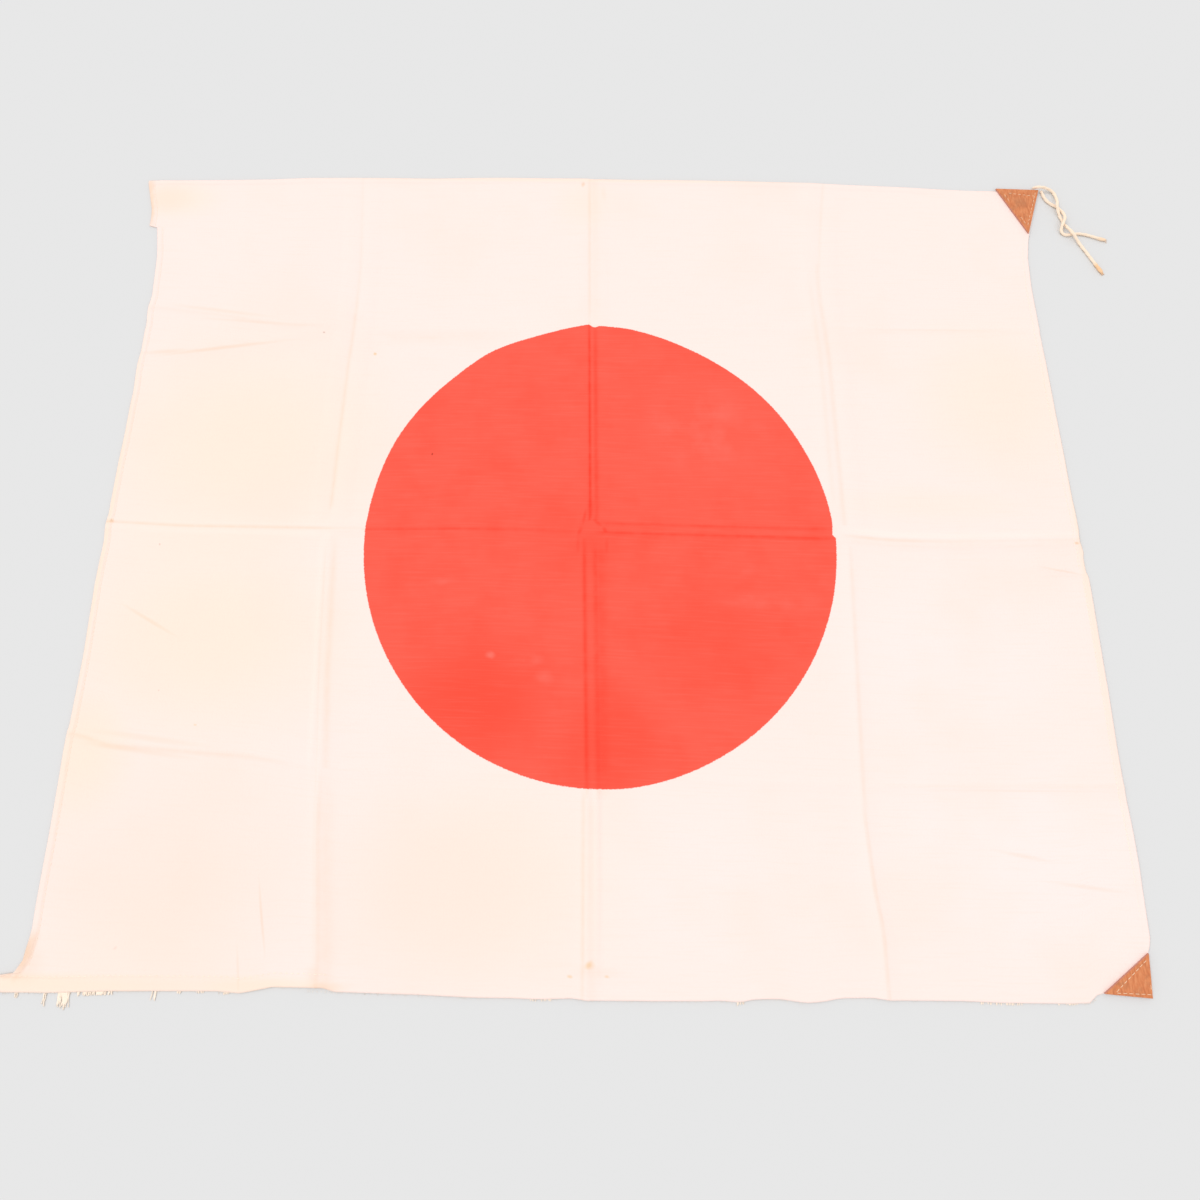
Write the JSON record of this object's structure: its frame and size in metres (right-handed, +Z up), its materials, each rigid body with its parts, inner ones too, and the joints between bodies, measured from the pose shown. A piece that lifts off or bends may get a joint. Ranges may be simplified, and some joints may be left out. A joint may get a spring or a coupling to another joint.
{
  "type": "open cotton flag with corner patches and string tie",
  "caption": "White cotton flag with a red disc, lying open and flat with old fold creases, leather corner patches and a string tie.",
  "frame": {"origin": "on the surface that the flag lies on, under the middle of the cloth", "axes": "+X along the flag's long side towards the patched corners, +Y towards the top edge with the tie, +Z up"},
  "size_m": [0.9107, 0.6978, 0.0063],
  "materials": {
    "cotton": "plain woven cotton, unbleached white with a dyed red disc",
    "leather": "smooth tan leather with a visible grain, cut edges, machine stitched",
    "string": "twisted cotton string"
  },
  "bodies": {
    "root": {"flag_cloth": "cotton", "leather_patch_top": "leather", "leather_patch_bottom": "leather", "tie_strand_a": "string", "tie_strand_b": "string"}
  },
  "joints": []
}
